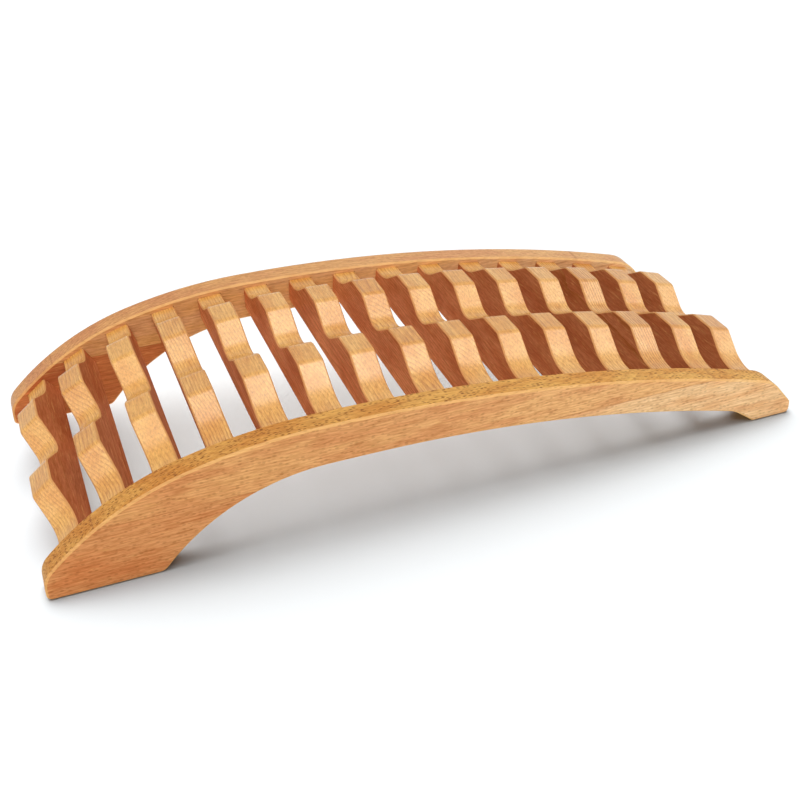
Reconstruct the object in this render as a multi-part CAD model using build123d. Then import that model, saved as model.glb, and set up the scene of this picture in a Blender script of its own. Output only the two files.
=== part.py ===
"""Wooden backbend bench: two arched beech rails with fifteen double-humped slats let into them.

X runs along the bench, from the steep head end to the long gentle tail end. Y runs across it,
and Z is up from the floor. The origin is on the floor, under the middle of the bench.
All lengths are in millimetres and all angles in degrees.
"""

from build123d import *
import math
import os

# Overall size
length = 600.0
width = 252.0

# Rail outline: heights are from the floor, and distances from the head or tail end
rail_thickness = 20.0
rail_height = 90.5
crown_from_head = 203.0
head_arc_radius = 410.0
head_arc_turn = 13.5
head_nose_height = 17.5
head_foot_length = 81.5
tail_shoulder_height = 34.4
tail_shoulder_from_tail = 20.2
tail_lip_height = 10.0
tail_foot_length = 34.5
tail_heel_height = 13.6
tail_heel_run = 18.5
underside_height = 57.5
underside_flat = 30.0
underside_flat_from_head = 206.0

# Corner rounding, seen from the side
head_nose_rounding = 20.0
head_toe_rounding = 4.0
head_knee_rounding = 8.0
tail_shoulder_rounding = 34.0
tail_lip_rounding = 6.0
tail_toe_rounding = 4.0
tail_sole_rounding = 3.0
tail_heel_rounding = 30.0

# Bevel of every long edge of a rail
rail_edge_bevel = 1.5

# The rails are glued up from boards that meet at this height
glue_line_height = 50.0

# Slats: each stands square to the arch, and its heights are from the top of its ends.
# They are evenly spaced along a line that runs below the rail's top edge.
slat_count = 15
slat_thickness = 20.0
first_slat_from_head = 19.6
last_slat_from_tail = 31.4
spacing_line_depth = 16.0
slat_end_height = 19.3
slat_end_below_rail = 4.5
valley_rise = 2.5
valley_radius = 22.0
inner_flank_angle = 30.0
hump_rise = 17.0
hump_crown_width = 26.0
hump_shoulder_radius = 10.0
outer_flank_angle = 31.0
hump_foot_radius = 45.0
slat_edge_bevel = 1.0

# Housings that the slat ends are glued into
housing_depth = 8.0
glue_clearance = 0.1

# Places worked out from the sizes above
head_x = -length / 2
tail_x = length / 2
crown_x = head_x + crown_from_head
rail_inner_y = width / 2 - rail_thickness
slat_half_length = rail_inner_y + housing_depth


def radius_through(run, drop):
    """Radius of an arc that leaves a line along it and is off it by drop after run."""
    return (run**2 + drop**2) / (2 * drop)


def arc_point(start, heading, radius, turn):
    """End of an arc that starts at heading and turns by turn, to the left where it is positive."""
    side = 90 if turn > 0 else -90
    to_centre = math.radians(heading + side)
    from_centre = math.radians(heading + turn - side)
    return (
        start[0] + radius * (math.cos(to_centre) + math.cos(from_centre)),
        start[1] + radius * (math.sin(to_centre) + math.sin(from_centre)),
    )


def tangent_arc(start, heading, radius, turn):
    """Edge from start that leaves it at heading, with its end point and end heading."""
    middle = arc_point(start, heading, radius, turn / 2)
    end = arc_point(start, heading, radius, turn)
    return ThreePointArc(start, middle, end), end, heading + turn


def head_curve():
    """The rail's top from the crown to the head nose: two arcs, the second one tighter."""
    crown = (crown_x, rail_height)
    first, joint, heading = tangent_arc(crown, 180, head_arc_radius, head_arc_turn)
    slope = math.radians(head_arc_turn)
    back = joint[0] - head_x
    down = joint[1] - head_nose_height
    run = back * math.cos(slope) + down * math.sin(slope)
    drop = down * math.cos(slope) - back * math.sin(slope)
    radius = radius_through(run, drop)
    turn = 2 * math.degrees(math.atan2(drop, run))
    second, nose, _ = tangent_arc(joint, heading, radius, turn)
    return first, second, joint, nose, radius


head_first, head_second, head_joint, head_nose, head_radius = head_curve()
tail_run = tail_x - tail_shoulder_from_tail - crown_x
tail_radius = radius_through(tail_run, rail_height - tail_shoulder_height)


def arch_at(x):
    """Height of the rail's top edge at x, and its slope."""
    if x >= crown_x:
        slope = -math.asin((x - crown_x) / tail_radius)
        return rail_height - tail_radius * (1 - math.cos(slope)), math.degrees(slope)
    if x >= head_joint[0]:
        slope = math.asin((crown_x - x) / head_arc_radius)
        return rail_height - head_arc_radius * (1 - math.cos(slope)), math.degrees(slope)
    start = math.radians(head_arc_turn)
    slope = math.asin(math.sin(start) + (head_joint[0] - x) / head_radius)
    return head_joint[1] - head_radius * (math.cos(start) - math.cos(slope)), math.degrees(slope)


def distance_at(x):
    """Distance along the spacing line from the crown to the slat at x, negative at the head."""
    slope = math.radians(abs(arch_at(x)[1]))
    if x >= crown_x:
        return (tail_radius - spacing_line_depth) * slope
    first_turn = min(slope, math.radians(head_arc_turn))
    first_length = (head_arc_radius - spacing_line_depth) * first_turn
    return -first_length - (head_radius - spacing_line_depth) * (slope - first_turn)


def place_at(distance):
    """x on the rail's top edge for that distance along the spacing line."""
    if distance >= 0:
        return crown_x + tail_radius * math.sin(distance / (tail_radius - spacing_line_depth))
    turn = math.radians(head_arc_turn)
    first_length = (head_arc_radius - spacing_line_depth) * turn
    if -distance <= first_length:
        slope = -distance / (head_arc_radius - spacing_line_depth)
        return crown_x - head_arc_radius * math.sin(slope)
    slope = turn + (-distance - first_length) / (head_radius - spacing_line_depth)
    return head_joint[0] - head_radius * (math.sin(slope) - math.sin(turn))


def slat_positions():
    """Where the slats stand: evenly spaced along the spacing line."""
    first = distance_at(head_x + first_slat_from_head)
    last = distance_at(tail_x - last_slat_from_tail)
    pitch = (last - first) / (slat_count - 1)
    return [place_at(first + pitch * i) for i in range(slat_count)]


def rounded(face, corners):
    """The face with each named corner rounded by its radius."""
    for corner, radius in corners:
        vertex = face.vertices().sort_by_distance(corner)[0]
        face = fillet(vertex, radius)
    return face


def rail_outline():
    """Side view of a rail, drawn in X and Y and stood up later."""
    crown = (crown_x, rail_height)
    shoulder = (tail_x - tail_shoulder_from_tail, tail_shoulder_height)
    lip = (tail_x, tail_lip_height)
    toe = (tail_x, 0)
    sole = (tail_x - tail_foot_length, 0)
    heel = (sole[0] - tail_heel_run, tail_heel_height)
    flat_start = (head_x + underside_flat_from_head, underside_height)
    flat_end = (flat_start[0] + underside_flat, underside_height)
    knee = (head_x + head_foot_length, 0)
    head_toe = (head_x, 0)

    tail_turn = 2 * math.degrees(math.atan2(crown[1] - shoulder[1], shoulder[0] - crown[0]))
    tail_top, _, _ = tangent_arc(crown, 0, tail_radius, -tail_turn)
    long_run = heel[0] - flat_end[0]
    long_drop = flat_end[1] - heel[1]
    long_turn = 2 * math.degrees(math.atan2(long_drop, long_run))
    tail_under, _, _ = tangent_arc(flat_end, 0, radius_through(long_run, long_drop), -long_turn)
    short_run = flat_start[0] - knee[0]
    short_turn = 2 * math.degrees(math.atan2(underside_height, short_run))
    head_under, _, _ = tangent_arc(
        flat_start, 180, radius_through(short_run, underside_height), short_turn
    )

    straights = Polyline(shoulder, lip, toe, sole, heel)
    flat = Line(flat_start, flat_end)
    head_end = Polyline(knee, head_toe, head_nose)
    edges = head_first + head_second + tail_top + straights + tail_under + flat + head_under + head_end
    face = make_face(edges.edges())
    return rounded(
        face,
        [
            (head_nose, head_nose_rounding),
            (head_toe, head_toe_rounding),
            (knee, head_knee_rounding),
            (shoulder, tail_shoulder_rounding),
            (lip, tail_lip_rounding),
            (toe, tail_toe_rounding),
            (sole, tail_sole_rounding),
            (heel, tail_heel_rounding),
        ],
    )


def slat_plane(x):
    """Plane of a slat's middle: across the bench, and square to the arch at x."""
    height, slope = arch_at(x)
    along = (math.cos(math.radians(slope)), 0, math.sin(math.radians(slope)))
    return Plane(origin=(x, 0, height), x_dir=(0, 1, 0), z_dir=along)


def slat_outline():
    """Front view of a slat: straight underneath, with two humps and a valley between them."""
    top_of_end = -slat_end_below_rail
    underneath = top_of_end - slat_end_height
    crown = top_of_end + hump_rise
    inner = math.radians(inner_flank_angle)
    outer = math.radians(outer_flank_angle)
    valley_bottom = top_of_end + valley_rise
    flank_start = (
        valley_radius * math.sin(inner),
        valley_bottom + valley_radius * (1 - math.cos(inner)),
    )
    valley_corner = valley_bottom + valley_radius * (1 - 1 / math.cos(inner))
    inner_shoulder = flank_start[0] + (crown - flank_start[1]) / math.tan(inner)
    outer_shoulder = inner_shoulder + hump_crown_width
    hump_foot = outer_shoulder + hump_rise / math.tan(outer)
    half = [
        (slat_half_length, top_of_end),
        (hump_foot, top_of_end),
        (outer_shoulder, crown),
        (inner_shoulder, crown),
    ]
    mirrored = [(-y, z) for y, z in reversed(half)]
    half_radii = [hump_foot_radius, hump_shoulder_radius, hump_shoulder_radius]
    top = FilletPolyline(
        *half,
        (0, valley_corner),
        *mirrored,
        radius=half_radii + [valley_radius] + half_radii[::-1],
    )
    base = Polyline(
        (-slat_half_length, top_of_end),
        (-slat_half_length, underneath),
        (slat_half_length, underneath),
        (slat_half_length, top_of_end),
    )
    return make_face((top + base).edges())


def make_slat():
    """One slat, lying with its outline in the XY plane and its thickness along Z."""
    slat = extrude(slat_outline(), slat_thickness / 2, both=True)
    sides = slat.faces().filter_by(Axis.Z)
    return chamfer(sides.edges(), slat_edge_bevel)


def make_housing():
    """The space that one slat end fills in the front rail, in the slat's own plane."""
    top_of_end = -slat_end_below_rail
    height = slat_end_height + glue_clearance
    centre = (
        -rail_inner_y - housing_depth / 2,
        top_of_end - slat_end_height + height / 2,
        0,
    )
    return Pos(*centre) * Box(housing_depth, height, slat_thickness + 2 * glue_clearance)


def make_front_rail():
    """The front rail in one piece, with its edges bevelled and its housings cut."""
    standing = Plane(origin=(0, -width / 2, 0), x_dir=(1, 0, 0), z_dir=(0, -1, 0))
    rail = extrude(standing * rail_outline(), -rail_thickness)
    rail = chamfer(rail.faces().filter_by(Axis.Y).edges(), rail_edge_bevel)
    housing = make_housing()
    for x in slat_positions():
        rail -= slat_plane(x).location * housing
    return rail


def split_rail(rail):
    """The boards that the rail is glued up from: the arch board and the two feet."""
    above = Pos(0, 0, glue_line_height + rail_height) * Box(2 * length, 2 * width, 2 * rail_height)
    boards = {"arch_board": rail & above}
    feet = (rail - above).solids().sort_by(Axis.X)
    boards["head_foot"] = feet[0]
    boards["tail_foot"] = feet[-1]
    return boards


def write(part, name):
    """Writes one piece as parts/NAME.step."""
    part.label = name
    export_step(part, os.path.join("parts", name + ".step"))


os.makedirs("parts", exist_ok=True)
front = split_rail(make_front_rail())
for board, solid in front.items():
    write(solid, "front_" + board)
    write(mirror(solid, about=Plane.XZ), "rear_" + board)
slat = make_slat()
for number, x in enumerate(slat_positions(), start=1):
    write(slat_plane(x).location * slat, f"slat_{number:02d}")
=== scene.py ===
"""Wooden backbend bench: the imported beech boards, dressed as lacquered beech and lit softly.

X runs along the bench, Y across it and Z up from the floor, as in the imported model.
Lengths are in metres, angles in degrees, and colours as they look on a screen, from 0 to 255.
"""

import math
import random

import bpy
from mathutils import Matrix, Vector


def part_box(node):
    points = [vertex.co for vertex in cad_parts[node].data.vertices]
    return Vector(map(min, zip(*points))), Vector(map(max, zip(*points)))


MM = 0.001

# Camera, from the lines of the photograph
camera_place = (-0.2729, -0.7797, 0.5489)
camera_yaw = 19.6
camera_pitch = 33.0
camera_roll = -1.87
camera_sensor = 36.0
camera_lens = 53.24

# Lamps that light the bench: a broad soft one overhead, and weaker ones from the front and from the
# pale floor below. A lamp's tilt is how far it leans to the front and to the tail.
key_lamp = {"strength": 1.75, "spread": 48, "tilt": (19, 2)}
fill_lamp = {"strength": 0.95, "spread": 60, "tilt": (46, -30)}
bounce_lamp = {"strength": 1.0, "spread": 60, "tilt": (12, -153)}

# A row of lamps along the bench that draw sheen alone, on the slopes of the slats
sheen_strength = 0.42
sheen_spread = 30
sheen_front = 5
sheen_leans = (-50, -24, 10, 26, 40, 54)

# Lamps that light the floor. The front rail alone shades it from the first two. The third is so
# broad that the slats draw no stripes, and the rear rail lets it by, so that the floor stays pale
# between the slats.
edge_lamp = {"strength": 2.7, "spread": 46, "tilt": (-5, -3)}
under_lamp = {"strength": 1.6, "spread": 44, "tilt": (26, -3)}
shade_lamp = {"strength": 7.8, "spread": 60, "tilt": (-21, -3)}

# The surround looks white, and lights things more weakly than that
surround_strength = 0.34

floor_size = 8.0
floor_drop = 0.2 * MM
floor_colour = (0.262, 0.271, 0.276, 1.0)

# Colours of the wood: the sawn edges, mostly facing up, are painted yellower than the broad sides, as
# painted light and shade between up-facing and upright faces
honey = (226, 173, 92)
straw = (234, 186, 116)
cream = (232, 190, 138)
tan = (223, 168, 114)
rose = (208, 140, 88)
copper = (226, 148, 98)
russet = (206, 122, 74)
amber = (213, 149, 72)
umber = (166, 96, 48)
mahogany = (150, 82, 52)
pore_brown = (120, 66, 30)
glue_brown = (160, 98, 54)

# How far a face's normal points through the board: from little on a sawn edge to fully on a broad
# side. The narrow bevels lie between the two, and carry a painted highlight in pale straw.
sawn_to_side = (0.3, 0.85)
edge_to_bevel = (0.3, 0.5)
side_to_bevel = (0.96, 0.86)
bevel_painted_highlight = 0.4

# Figures of the grain: how often each repeats in a metre along the board, through it and up its
# edges, how fine and how rough it is, and where in the noise it starts
waves = {"rates": (9, 30, 30), "detail": 3, "roughness": 0.5, "start": 0}
clouds = {"rates": (16, 60, 75), "detail": 3, "roughness": 0.5, "start": 3}
streaks = {"rates": (60, 560, 560), "detail": 4, "roughness": 0.7, "start": 5}
silk = {"rates": (110, 900, 900), "detail": 2, "roughness": 0.6, "start": 7}
fleck_rates = (250, 950, 500)

# Growth rings, which darken towards their outer side
ring_pitch = 2.4 * MM
ring_waviness = 9 * MM
ring_sharpness = 3.0

# Where in its noise each figure fades in, and how strongly it shows
cloud_fade = (0.38, 0.64)
dark_streak_fade = (0.48, 0.7)
pale_streak_fade = (0.46, 0.3)
streak_strength = 0.4
silk_fade = (0.36, 0.64)

# The fine grain darkens the wood most in blue, which leaves it redder
silk_dark = (0.88, 0.81, 0.74, 1.0)
silk_light = (1.08, 1.07, 1.05, 1.0)

# Dark ray flecks: how they fade out from their middle, which cells of the pattern hold one, and what
# share of their strength is left on the broad sides
fleck_fade = (0.2, 0.5)
fleck_chance = (0.4, 0.6)
fleck_share_on_sides = 0.3

# Painted light and shade along the rails: a little darker and redder at the head end and paler at the
# tail end
head_end = -0.3
tail_end = 0.3
head_painted_shade = (0.89, 0.83, 0.78, 1.0)
tail_painted_light = (1.04, 1.12, 1.24, 1.0)

# The boards of a rail meet at this height, and the seam shows as a thin line
glue_height = 50 * MM
glue_width = 0.5 * MM
glue_strength = 0.4

# The wood itself is dull, and the lacquer over it shines most on the sawn edges
wood_roughness = 0.6
wood_roughness_change = 0.08
wood_roughness_fade = (0.3, 0.7)
wood_specular = 0.0
lacquer_roughness = 0.27
side_lacquer = 0.04

# Relief of the grain
relief_of_streaks = 0.6
relief_of_silk = 0.5
relief_strength = 0.5
relief_depth = 0.15 * MM

# Rails: how strongly their rings show, how high the pith lies, and how far apart the seeds of one
# rail's boards are
rail_rings = 0.3
rail_pith_z = -0.03
rail_seed_step = 0.7

# Slats from the head end: how orange the sawn edges of each are, and how strongly its rings show
slat_tones = (0.35, 0.55, 0.15, 0.6, 0.3, 0.45, 0.4, 0.65, 0.3, 0.25, 0.5, 0.35, 0.2, 0.85, 0.4)
slat_rings = (0.5, 0.6, 0.2, 0.7, 0.5, 0.4, 0.5, 0.6, 0.5, 0.3, 0.4, 0.4, 1.0, 0.4, 0.4)
# How much painted shade darkens their broad sides, most towards both ends of the row
slat_painted_side_shades = (0.4, 0.4, 0.3, 0.2, 0.0, 0.0, 0.0, 0.0, 0.1, 0.2, 0.3, 0.4, 0.4, 0.5, 0.5)
# Which way the growth rings run in each slat: 0 cuts them level, 90 upright
slat_ring_turns = (75, 60, 40, 85, 70, 50, 65, 30, 45, 55, 35, 60, 88, 50, 40)
# The least and most distance from a slat's middle to its pith, and the least and most yellowing of
# its light figure and orange of its dark figure
slat_pith_reach = (0.05, 0.09)
slat_yellowing = (0.5, 1.0)
slat_orange = (0.4, 1.0)
slat_flecks = 0.2
slat_lacquer = 1.0
slat_dice_seed = 5
first_slat_seed = 11


def screen(colour):
    """A colour from 0 to 255 as Blender's linear red, green, blue and alpha."""
    parts = [c / 255 for c in colour]
    return [p / 12.92 if p < 0.04 else ((p + 0.055) / 1.055) ** 2.4 for p in parts] + [1.0]


def blended(a, b, share):
    """The colour that lies that share of the way from a to b."""
    return tuple(p + (q - p) * share for p, q in zip(a, b))


class Graph:
    """Adds nodes to a node tree, with each input given as a value or as another node's output."""

    def __init__(self, tree):
        self.tree = tree
        tree.nodes.clear()

    def put(self, socket, value):
        """Sets an input to a value, or links it to an output."""
        if isinstance(value, bpy.types.NodeSocket):
            self.tree.links.new(value, socket)
        else:
            socket.default_value = value

    def add(self, kind, inputs, **settings):
        """A new node, with its inputs by name or number."""
        node = self.tree.nodes.new(kind)
        for name, value in settings.items():
            setattr(node, name, value)
        for key, value in inputs.items():
            self.put(node.inputs[key], value)
        return node

    def math(self, operation, *values):
        """The result of an operation on numbers."""
        return self.add("ShaderNodeMath", dict(enumerate(values)), operation=operation).outputs[0]

    def along(self, vector, axis):
        """How far the vector reaches along the axis."""
        return self.add("ShaderNodeVectorMath", {0: vector, 1: axis}, operation="DOT_PRODUCT").outputs[1]

    def scaled(self, vector, scale):
        """The vector with each of its parts multiplied."""
        return self.add("ShaderNodeVectorMath", {0: vector, 1: scale}, operation="MULTIPLY").outputs[0]

    def figure(self, grain, seed, rates, detail, roughness, start):
        """One figure of the grain, as a noise from 0 to 1."""
        inputs = {
            "Vector": self.scaled(grain, rates),
            "W": seed + start,
            "Scale": 1.0,
            "Detail": detail,
            "Roughness": roughness,
        }
        return self.add("ShaderNodeTexNoise", inputs, noise_dimensions="4D").outputs[0]

    def fade(self, value, low, high, at_low=0.0, at_high=1.0):
        """A smooth change from at_low, where the value is low, to at_high, where it is high."""
        inputs = {"Value": value, 1: low, 2: high, 3: at_low, 4: at_high}
        return self.add("ShaderNodeMapRange", inputs, interpolation_type="SMOOTHSTEP").outputs[0]

    def mix(self, share, a, b, how="MIX"):
        """The colour that lies that share of the way from a to b, or from a to their product."""
        node = self.add("ShaderNodeMix", {}, data_type="RGBA", blend_type=how)
        for number, value in ((0, share), (6, a), (7, b)):
            self.put(node.inputs[number], value)
        return node.outputs[2]


def face_masks(graph, through):
    """How far a face is a sawn edge, and how far it is one of the narrow bevels."""
    normal = graph.add("ShaderNodeNewGeometry", {}).outputs["True Normal"]
    sideways = graph.math("ABSOLUTE", graph.along(normal, through))
    sawn = graph.fade(sideways, *sawn_to_side, 1.0, 0.0)
    off_edge = graph.fade(sideways, *edge_to_bevel)
    off_side = graph.fade(sideways, *side_to_bevel)
    return sawn, graph.math("MULTIPLY", off_edge, off_side)


def ring_lines(graph, grain, across, upward, pith, seed):
    """The growth rings round the pith, a little wavy along the board."""
    wave = graph.figure(grain, seed, **waves)
    side = graph.math("SUBTRACT", across, pith[0])
    rise = graph.math("SUBTRACT", upward, pith[1])
    squares = graph.math("ADD", graph.math("MULTIPLY", side, side), graph.math("MULTIPLY", rise, rise))
    radius = graph.math("MULTIPLY_ADD", wave, ring_waviness, graph.math("SQRT", squares))
    ring = graph.math("FRACT", graph.math("DIVIDE", radius, ring_pitch))
    return graph.math("POWER", ring, ring_sharpness)


def ray_flecks(graph, grain, sawn):
    """Short dark flecks, drawn out lengthwise and strongest on the sawn edges."""
    inputs = {"Vector": graph.scaled(grain, fleck_rates), "Scale": 1.0, "Randomness": 1.0}
    cells = graph.add("ShaderNodeTexVoronoi", inputs)
    fleck = graph.fade(cells.outputs["Distance"], *fleck_fade, 1.0, 0.0)
    chance = graph.add("ShaderNodeSeparateXYZ", {0: cells.outputs["Color"]}).outputs[0]
    fleck = graph.math("MULTIPLY", fleck, graph.fade(chance, *fleck_chance))
    share = graph.math("MULTIPLY_ADD", sawn, 1 - fleck_share_on_sides, fleck_share_on_sides)
    return graph.math("MULTIPLY", fleck, share)


def rail_seam_and_painted_light(graph, colour, lengthwise, upward):
    """The colour with painted shade at a rail's head end and painted light at its tail end, and the seam
    between its boards.
    """
    # Painted shade towards the head end and painted light towards the tail end
    painted_light_drift = graph.mix(graph.fade(lengthwise, head_end, tail_end), head_painted_shade, tail_painted_light)
    colour = graph.mix(1.0, colour, painted_light_drift, "MULTIPLY")
    off = graph.math("ABSOLUTE", graph.math("SUBTRACT", upward, glue_height))
    seam = graph.fade(off, glue_width / 2, glue_width, glue_strength, 0.0)
    return graph.mix(seam, colour, screen(glue_brown))


def lacquered(graph, colour, streak, silky, sawn, lacquer):
    """Ends the material: dull wood in slight relief, under a coat of clear lacquer."""
    dull = wood_roughness - wood_roughness_change
    dullest = wood_roughness + wood_roughness_change
    relief = graph.math(
        "ADD",
        graph.math("MULTIPLY", streak, relief_of_streaks),
        graph.math("MULTIPLY", silky, relief_of_silk),
    )
    bump = graph.add(
        "ShaderNodeBump", {"Strength": relief_strength, "Distance": relief_depth, "Height": relief}
    ).outputs[0]
    shader = graph.add(
        "ShaderNodeBsdfPrincipled",
        {
            "Base Color": colour,
            "Roughness": graph.fade(streak, *wood_roughness_fade, dull, dullest),
            "Specular IOR Level": wood_specular,
            "Coat Weight": graph.math("MULTIPLY_ADD", sawn, lacquer - side_lacquer, side_lacquer),
            "Coat Roughness": lacquer_roughness,
            "Normal": bump,
            "Coat Normal": bump,
        },
    )
    graph.add("ShaderNodeOutputMaterial", {"Surface": shader.outputs[0]})


def beech(name, axes, pith, seed, edges, sides, rings, flecks, lacquer, rail=False):
    """Lacquered beech.

    axes are the directions along the board, through its two broad sides, and up its edges. pith is
    where the middle of the growth rings lies along the last two. edges and sides are the light and
    dark colours of the sawn edges and of the broad sides. rings and flecks are the strengths of the
    ring lines and dark flecks, and lacquer is how much gloss the sawn edges have.
    """
    material = bpy.data.materials.new(name)
    material.use_nodes = True
    graph = Graph(material.node_tree)
    place = graph.add("ShaderNodeTexCoord", {}).outputs["Object"]
    lengthwise, across, upward = [graph.along(place, axis) for axis in axes]
    grain = graph.add("ShaderNodeCombineXYZ", {0: lengthwise, 1: across, 2: upward}).outputs[0]
    sawn, bevel = face_masks(graph, axes[1])
    ring_line = ring_lines(graph, grain, across, upward, pith, seed)
    cloud = graph.figure(grain, seed, **clouds)
    streak = graph.figure(grain, seed, **streaks)
    silky = graph.figure(grain, seed, **silk)

    clouded = graph.fade(cloud, *cloud_fade)
    # Broad sides and sawn edges take their own colours: painted light and shade by which way a face turns
    side_colour = graph.mix(clouded, screen(sides[0]), screen(sides[1]))
    edge_colour = graph.mix(clouded, screen(edges[0]), screen(edges[1]))
    colour = graph.mix(sawn, side_colour, edge_colour)
    colour = graph.mix(graph.math("MULTIPLY", ring_line, rings), colour, screen(umber))
    for fade, streak_colour in ((dark_streak_fade, umber), (pale_streak_fade, straw)):
        share = graph.math("MULTIPLY", graph.fade(streak, *fade), streak_strength)
        colour = graph.mix(share, colour, screen(streak_colour))
    silk_tint = graph.mix(graph.fade(silky, *silk_fade), silk_dark, silk_light)
    colour = graph.mix(1.0, colour, silk_tint, "MULTIPLY")
    fleck = ray_flecks(graph, grain, sawn)
    colour = graph.mix(graph.math("MULTIPLY", fleck, flecks), colour, screen(pore_brown))
    if rail:
        # Painted light and shade along the rail, and the seam between its boards
        colour = rail_seam_and_painted_light(graph, colour, lengthwise, upward)
    # The narrow bevels are painted pale straw: a painted highlight along the edges
    colour = graph.mix(graph.math("MULTIPLY", bevel, bevel_painted_highlight), colour, screen(straw))
    lacquered(graph, colour, streak, silky, sawn, lacquer)
    return material


def dress(node, material):
    """Gives a CAD node its wood."""
    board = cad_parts[node]
    board.data.materials.clear()
    board.data.materials.append(material)


def make_camera():
    """The camera at the photograph's place and angle."""
    camera = bpy.data.objects.new("camera", bpy.data.cameras.new("camera"))
    camera.data.sensor_width = camera_sensor
    camera.data.lens = camera_lens
    turn = Matrix.Rotation(math.radians(-camera_yaw), 4, "Z")
    tilt = Matrix.Rotation(math.radians(90 - camera_pitch), 4, "X")
    roll = Matrix.Rotation(math.radians(camera_roll), 4, "Z")
    camera.matrix_world = Matrix.Translation(camera_place) @ turn @ tilt @ roll
    bpy.context.scene.collection.objects.link(camera)
    bpy.context.scene.camera = camera


def gathered(name, things):
    """A new collection that holds the things, for a lamp to light or to be blocked by."""
    group = bpy.data.collections.new(name)
    for thing in things:
        group.objects.link(thing)
    return group


def make_lamp(name, strength, spread, tilt, lit, blocked_by=None, sheen_only=False):
    """A soft distant lamp that lights only the lit things."""
    lamp = bpy.data.objects.new(name, bpy.data.lights.new(name, "SUN"))
    lamp.data.energy = strength
    lamp.data.angle = math.radians(spread)
    lamp.rotation_euler = (math.radians(tilt[0]), math.radians(tilt[1]), 0)
    lamp.visible_diffuse = not sheen_only
    bpy.context.scene.collection.objects.link(lamp)
    lamp.light_linking.receiver_collection = gathered(name + "_lights", lit)
    if blocked_by:
        lamp.light_linking.blocker_collection = gathered(name + "_blockers", blocked_by)


def light_bench(bench):
    """The lamps that light the bench and leave the floor dark."""
    make_lamp("key", lit=bench, **key_lamp)
    make_lamp("fill", lit=bench, **fill_lamp)
    make_lamp("bounce", lit=bench, blocked_by=bench, **bounce_lamp)
    for number, lean in enumerate(sheen_leans, start=1):
        tilt = (sheen_front, lean)
        make_lamp(f"sheen_{number}", sheen_strength, sheen_spread, tilt, bench, sheen_only=True)


def light_floor(floor):
    """The lamps that light the floor alone, each with the boards that shade it."""
    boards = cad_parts.items()
    front_rail = [board for node, board in boards if node.startswith("front")]
    front_and_slats = [board for node, board in boards if not node.startswith("rear")]
    make_lamp("edge", lit=[floor], blocked_by=front_rail, **edge_lamp)
    make_lamp("under", lit=[floor], blocked_by=front_rail, **under_lamp)
    make_lamp("shade", lit=[floor], blocked_by=front_and_slats, **shade_lamp)


def make_surround():
    """A surround that is white to the camera and in reflections, and lights things more weakly."""
    world = bpy.data.worlds.new("surround")
    bpy.context.scene.world = world
    world.use_nodes = True
    graph = Graph(world.node_tree)
    path = graph.add("ShaderNodeLightPath", {}).outputs
    seen = graph.math("MAXIMUM", path["Is Camera Ray"], path["Is Glossy Ray"])
    strength = graph.math("MULTIPLY_ADD", seen, 1 - surround_strength, surround_strength)
    light = graph.add("ShaderNodeBackground", {"Color": (1, 1, 1, 1), "Strength": strength})
    graph.add("ShaderNodeOutputWorld", {"Surface": light.outputs[0]})


def make_floor():
    """A plain square floor, just under the soles."""
    half = floor_size / 2
    corners = [(-half, -half), (half, -half), (half, half), (-half, half)]
    mesh = bpy.data.meshes.new("floor")
    mesh.from_pydata([(x, y, -floor_drop) for x, y in corners], [], [(0, 1, 2, 3)])
    floor = bpy.data.objects.new("floor", mesh)
    bpy.context.scene.collection.objects.link(floor)
    material = bpy.data.materials.new("floor_white")
    material.use_nodes = True
    graph = Graph(material.node_tree)
    white = graph.add("ShaderNodeBsdfDiffuse", {"Color": floor_colour})
    graph.add("ShaderNodeOutputMaterial", {"Surface": white.outputs[0]})
    mesh.materials.append(material)
    return floor


def dress_rail(name, pith_y, first_seed, arch_sides, foot_sides, **finish):
    """The three boards of a rail, whose grain runs along the bench."""
    axes = (Vector((1, 0, 0)), Vector((0, 1, 0)), Vector((0, 0, 1)))
    boards = (("arch_board", arch_sides), ("head_foot", foot_sides), ("tail_foot", (cream, tan)))
    for place, (board, sides) in enumerate(boards):
        node = f"{name}_{board}"
        seed = first_seed + rail_seed_step * place
        pith = (pith_y, rail_pith_z)
        wood = beech(node + "_wood", axes, pith, seed, sides=sides, rings=rail_rings, rail=True, **finish)
        dress(node, wood)


def dress_rails():
    """The front rail is yellower with many flecks on its edges. The rear one is glossier, its edges
    painted paler and greyer as a painted reflection, and its arch board paler, partly its own tone and
    partly painted light.
    """
    dress_rail(
        "front",
        pith_y=-0.15,
        first_seed=1,
        arch_sides=(blended(tan, straw, 0.3), blended(rose, tan, 0.5)),
        foot_sides=(blended(tan, rose, 0.4), blended(rose, russet, 0.3)),
        edges=(honey, amber),
        flecks=0.95,
        lacquer=0.25,
    )
    dress_rail(
        "rear",
        pith_y=0.19,
        first_seed=4,
        # Paler arch board: partly the board's own tone, partly painted light on the inner face that the
        # slat ends shade
        arch_sides=(blended(cream, rose, 0.35), blended(straw, rose, 0.3)),
        foot_sides=(blended(rose, russet, 0.6), blended(russet, mahogany, 0.4)),
        # Paler, greyer edges: a painted reflection
        edges=(blended(tan, honey, 0.3), blended(tan, rose, 0.5)),
        flecks=0.3,
        lacquer=0.45,
    )


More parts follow.
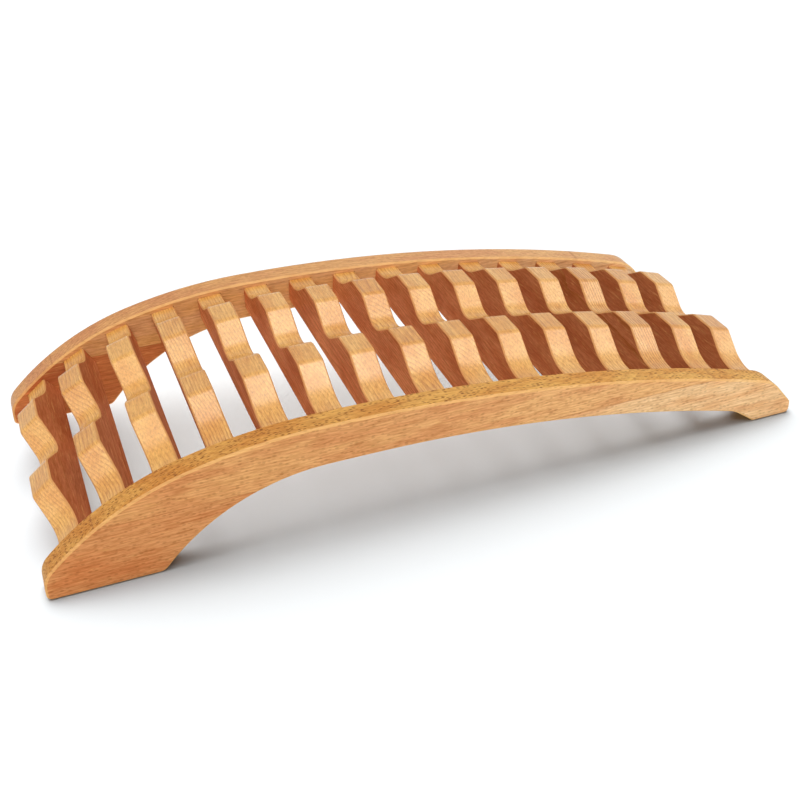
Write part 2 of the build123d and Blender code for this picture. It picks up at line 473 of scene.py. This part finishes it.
def slat_axes(node):
    """The directions along a slat, through its broad sides and up its edges."""
    broadest = max(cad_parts[node].data.polygons, key=lambda face: face.area)
    through = Vector(broadest.normal)
    if through.x < 0:
        through.negate()
    lengthwise = Vector((0, 1, 0))
    return lengthwise, through, through.cross(lengthwise)


def slat_pith(node, axes, turn, reach):
    """Where the middle of a slat's growth rings lies, below or beside the slat."""
    low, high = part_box(node)
    middle = (Vector(low) + Vector(high)) / 2
    lean = math.radians(turn)
    return middle.dot(axes[1]) - reach * math.sin(lean), middle.dot(axes[2]) - reach * math.cos(lean)


def dress_slats():
    """The slats, each from another plank: their tone and rings differ, and their broad sides carry
    painted shade.
    """
    dice = random.Random(slat_dice_seed)
    orange_low, orange_high = slat_orange
    looks = zip(slat_tones, slat_rings, slat_ring_turns, slat_painted_side_shades)
    for place, (tone, rings, turn, shade) in enumerate(looks):
        node = f"slat_{place + 1:02d}"
        axes = slat_axes(node)
        pith = slat_pith(node, axes, turn, reach=dice.uniform(*slat_pith_reach))
        light_edge = blended(straw, honey, dice.uniform(*slat_yellowing))
        dark_edge = blended(honey, amber, orange_low + (orange_high - orange_low) * tone)
        wood = beech(
            node + "_wood",
            axes,
            pith,
            seed=first_slat_seed + place,
            edges=(light_edge, dark_edge),
            # The broad sides darken towards mahogany by the slat's painted shade
            sides=(blended(copper, mahogany, shade), blended(russet, mahogany, shade)),
            rings=rings,
            flecks=slat_flecks,
            lacquer=slat_lacquer,
        )
        dress(node, wood)


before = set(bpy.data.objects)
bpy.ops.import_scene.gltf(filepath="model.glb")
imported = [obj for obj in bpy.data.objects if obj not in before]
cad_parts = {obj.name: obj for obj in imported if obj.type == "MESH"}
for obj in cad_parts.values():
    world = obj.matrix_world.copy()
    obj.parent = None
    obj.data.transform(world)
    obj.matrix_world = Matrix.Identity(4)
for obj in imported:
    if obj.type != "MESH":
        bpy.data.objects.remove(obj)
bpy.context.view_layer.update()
make_camera()
make_surround()
floor = make_floor()
light_bench(list(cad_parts.values()))
light_floor(floor)
dress_rails()
dress_slats()
bpy.context.scene.view_settings.view_transform = "Standard"
